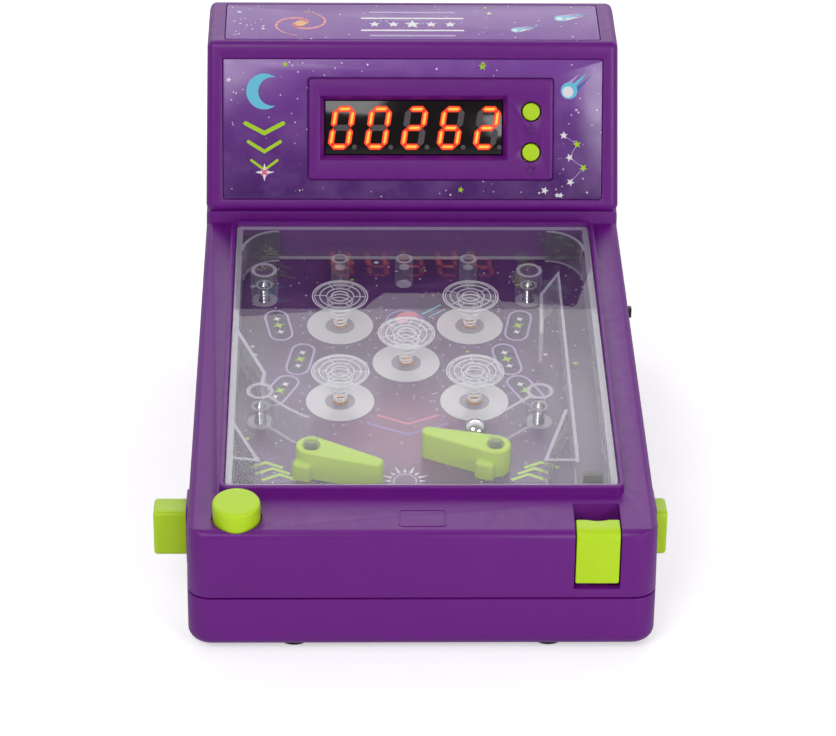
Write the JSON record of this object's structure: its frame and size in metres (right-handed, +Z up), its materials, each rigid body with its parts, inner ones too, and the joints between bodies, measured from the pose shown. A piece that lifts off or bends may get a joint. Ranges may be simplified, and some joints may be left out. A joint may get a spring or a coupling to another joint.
{
  "type": "handheld pinball game",
  "caption": "Tabletop pinball toy with a sloping clear-covered playfield, side-button flippers, spring bumpers, a pull launcher and an upright score head.",
  "frame": {"origin": "middle of the bounding box's footprint, on the table under the feet", "axes": "+X to the player's right, +Y away from the player, +Z up"},
  "size_m": [0.1604, 0.2242, 0.1327],
  "materials": {
    "purple_plastic": "satin moulded ABS",
    "bright_purple_plastic": "satin moulded ABS",
    "lime_plastic": "smooth moulded plastic",
    "clear_plastic": "polished clear polystyrene",
    "printed_sheet": "glossy printed sheet",
    "steel": "bright plated steel",
    "brass": "bare brass",
    "dark_plastic": "matt moulded plastic",
    "circuit_board": "solder-masked board",
    "rubber": "matt rubber",
    "cell_sleeve": "printed metal sleeve"
  },
  "bodies": {
    "housing": {"upper_housing": "purple_plastic", "base_tray": "bright_purple_plastic", "display_bezel": "bright_purple_plastic", "battery_door": "bright_purple_plastic", "game_cover": "clear_plastic", "bumper_cap_1": "clear_plastic", "bumper_cap_2": "clear_plastic", "bumper_cap_3": "clear_plastic", "bumper_cap_4": "clear_plastic", "bumper_cap_5": "clear_plastic", "playfield": "printed_sheet", "face_sticker": "printed_sheet", "top_sticker": "printed_sheet", "left_return_spring": "steel", "right_return_spring": "steel", "launcher_spring": "steel", "round_button_spring": "steel", "battery_contact_left": "steel", "battery_contact_right": "steel", "battery_door_screw": "steel", "cover_screw_1": "steel", "cover_screw_2": "steel", "cover_screw_3": "steel", "cover_screw_4": "steel", "bumper_spring_1": "steel", "bumper_spring_2": "steel", "bumper_spring_3": "steel", "bumper_spring_4": "steel", "bumper_spring_5": "steel", "bumper_pin_1": "brass", "bumper_pin_2": "brass", "bumper_pin_3": "brass", "bumper_pin_4": "brass", "bumper_pin_5": "brass", "display_module": "dark_plastic", "slide_switch_body": "dark_plastic", "speaker": "dark_plastic", "display_board": "circuit_board", "main_board": "circuit_board", "foot_1": "rubber", "foot_2": "rubber", "foot_3": "rubber", "foot_4": "rubber", "battery_1": "cell_sleeve", "battery_2": "cell_sleeve", "battery_3": "cell_sleeve"},
    "left_flipper_body": {"left_flipper": "lime_plastic", "left_flipper_crank": "dark_plastic"},
    "right_flipper_body": {"right_flipper": "lime_plastic", "right_flipper_crank": "dark_plastic"},
    "left_flipper_button": {"left_flipper_button": "lime_plastic"},
    "right_flipper_button": {"right_flipper_button": "lime_plastic"},
    "launcher": {"launcher_key": "lime_plastic", "launcher_plunger": "dark_plastic"},
    "round_button": {"round_button": "lime_plastic"},
    "power_button": {"power_button": "lime_plastic"},
    "reset_button": {"reset_button": "lime_plastic"},
    "slide_switch_knob": {"slide_switch_knob": "dark_plastic"},
    "ball": {"ball": "steel"}
  },
  "joints": [
    {"name": "left_flipper_button_slide", "type": "slide", "parent": "housing", "child": "left_flipper_button", "axis": [1, 0, 0], "range_m": [0, 0.0065], "stiffness_N_per_m": 120, "springref_m": -0.004, "deforming": ["left_return_spring"]},
    {"name": "right_flipper_button_slide", "type": "slide", "parent": "housing", "child": "right_flipper_button", "axis": [1, 0, 0], "range_m": [0, 0.0065], "stiffness_N_per_m": 120, "springref_m": 0.0105, "deforming": ["right_return_spring"]},
    {"name": "left_flipper_turn", "type": "hinge", "parent": "housing", "child": "left_flipper_body", "pos_m": [-0.03115, -0.06561, 0.04409], "axis": [0, -0.1444, 0.9895], "range_deg": [0, 42]},
    {"name": "right_flipper_turn", "type": "hinge", "parent": "housing", "child": "right_flipper_body", "pos_m": [0.02715, -0.06502, 0.04418], "axis": [0, -0.1444, 0.9895], "range_deg": [0, 42]},
    {"name": "launcher_pull", "type": "slide", "parent": "housing", "child": "launcher", "axis": [0, -0.9895, -0.1444], "range_m": [0, 0.01], "stiffness_N_per_m": 150, "springref_m": -0.003, "deforming": ["launcher_spring"]},
    {"name": "round_button_press", "type": "slide", "parent": "housing", "child": "round_button", "axis": [0, 0.1444, -0.9895], "range_m": [0, 0.003], "stiffness_N_per_m": 150, "springref_m": -0.003, "deforming": ["round_button_spring"]},
    {"name": "power_button_press", "type": "slide", "parent": "housing", "child": "power_button", "axis": [0, 0.9472, -0.3206], "range_m": [0, 0.001], "stiffness_N_per_m": 200, "springref_m": -0.001},
    {"name": "reset_button_press", "type": "slide", "parent": "housing", "child": "reset_button", "axis": [0, 0.9472, -0.3206], "range_m": [0, 0.001], "stiffness_N_per_m": 200, "springref_m": -0.001},
    {"name": "slide_switch_shift", "type": "slide", "parent": "housing", "child": "slide_switch_knob", "axis": [0, 1, 0], "range_m": [0, 0.0025]},
    {"name": "ball_roll", "type": "slide", "parent": "housing", "child": "ball", "axis": [0, 0.9895, 0.1444], "range_m": [-0.004, 0.012]}
  ],
  "couplings": [
    {"joint": "left_flipper_turn", "follows": "left_flipper_button_slide", "rad_per_m": 112.24},
    {"joint": "right_flipper_turn", "follows": "right_flipper_button_slide", "rad_per_m": 112.24}
  ]
}
